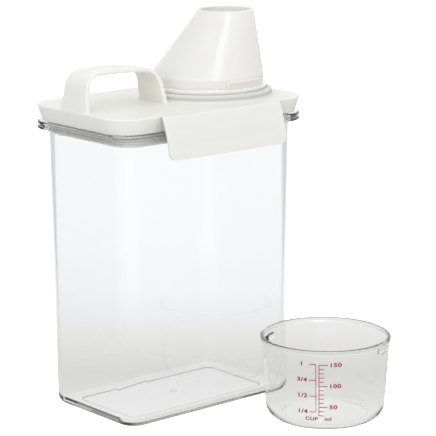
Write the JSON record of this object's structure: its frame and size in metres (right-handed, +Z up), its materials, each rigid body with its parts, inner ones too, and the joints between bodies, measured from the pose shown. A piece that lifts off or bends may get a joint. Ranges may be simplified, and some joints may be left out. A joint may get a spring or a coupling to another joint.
{
  "type": "cereal dispenser",
  "caption": "Clear rectangular food tub with a latched white lid, strap handle, slanting pour spout and a measuring cup that caps the spout.",
  "frame": {"origin": "centre of the tub's foot, on the surface it stands on", "axes": "+Z up; +X along the long side towards the spout's end; -Y towards the long side with the front latch and the measuring cup"},
  "size_m": [0.1545, 0.1839, 0.2342],
  "materials": {
    "clear_plastic": "clear, polished, colourless with a faint cool cast",
    "lid_plastic": "satin moulded white",
    "spout_plastic": "polished white",
    "white_silicone": "soft, matt",
    "grey_silicone": "soft, matt, ribbed"
  },
  "bodies": {
    "container": {"container_body": "clear_plastic"},
    "lid": {"lid_panel": "lid_plastic", "lid_seal": "white_silicone", "carry_handle": "lid_plastic", "spout": "spout_plastic", "spout_seal": "grey_silicone", "spout_lock_ring": "lid_plastic", "front_hinge_film": "lid_plastic", "back_hinge_film": "lid_plastic"},
    "front_latch": {"front_latch": "lid_plastic"},
    "back_latch": {"back_latch": "lid_plastic"},
    "measuring_cup": {"measuring_cup": "clear_plastic"}
  },
  "joints": [
    {"name": "lid_lift", "type": "slide", "parent": "container", "child": "lid", "axis": [0, 0, 1], "range_m": [0, 0.06]},
    {"name": "front_latch_hinge", "type": "hinge", "parent": "lid", "child": "front_latch", "pos_m": [0, -0.0467, 0.1834], "axis": [-1, 0, 0], "range_deg": [0, 110]},
    {"name": "back_latch_hinge", "type": "hinge", "parent": "lid", "child": "back_latch", "pos_m": [0, 0.0467, 0.1834], "axis": [1, 0, 0], "range_deg": [0, 110]},
    {"name": "cup_lift", "type": "slide", "parent": "container", "child": "measuring_cup", "axis": [0, 0, 1], "range_m": [0, 0.09]}
  ]
}
